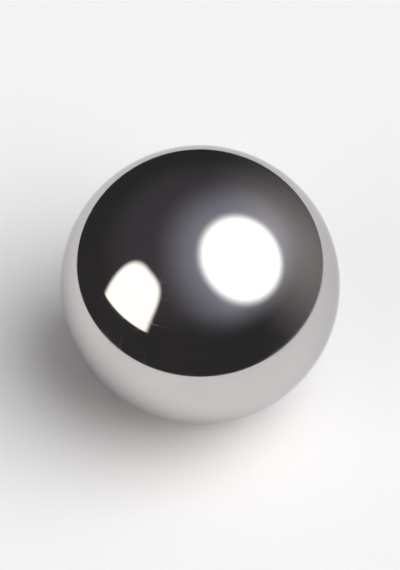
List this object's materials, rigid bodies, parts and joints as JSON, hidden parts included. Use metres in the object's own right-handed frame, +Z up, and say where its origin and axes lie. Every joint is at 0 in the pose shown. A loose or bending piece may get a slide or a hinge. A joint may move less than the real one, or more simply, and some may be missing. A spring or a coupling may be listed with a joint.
{
  "type": "steel ball",
  "caption": "Loose solid steel ball, ground to a true sphere and polished to a mirror finish all over.",
  "frame": {"origin": "centre of the ball", "axes": "+Z up; the ball is the same along every axis"},
  "size_m": [0.01, 0.01, 0.01],
  "materials": {
    "polished_steel": "bare steel, ground, lapped and polished to a mirror, very slightly hazed by handling"
  },
  "bodies": {
    "root": {"ball": "polished_steel"}
  },
  "joints": []
}
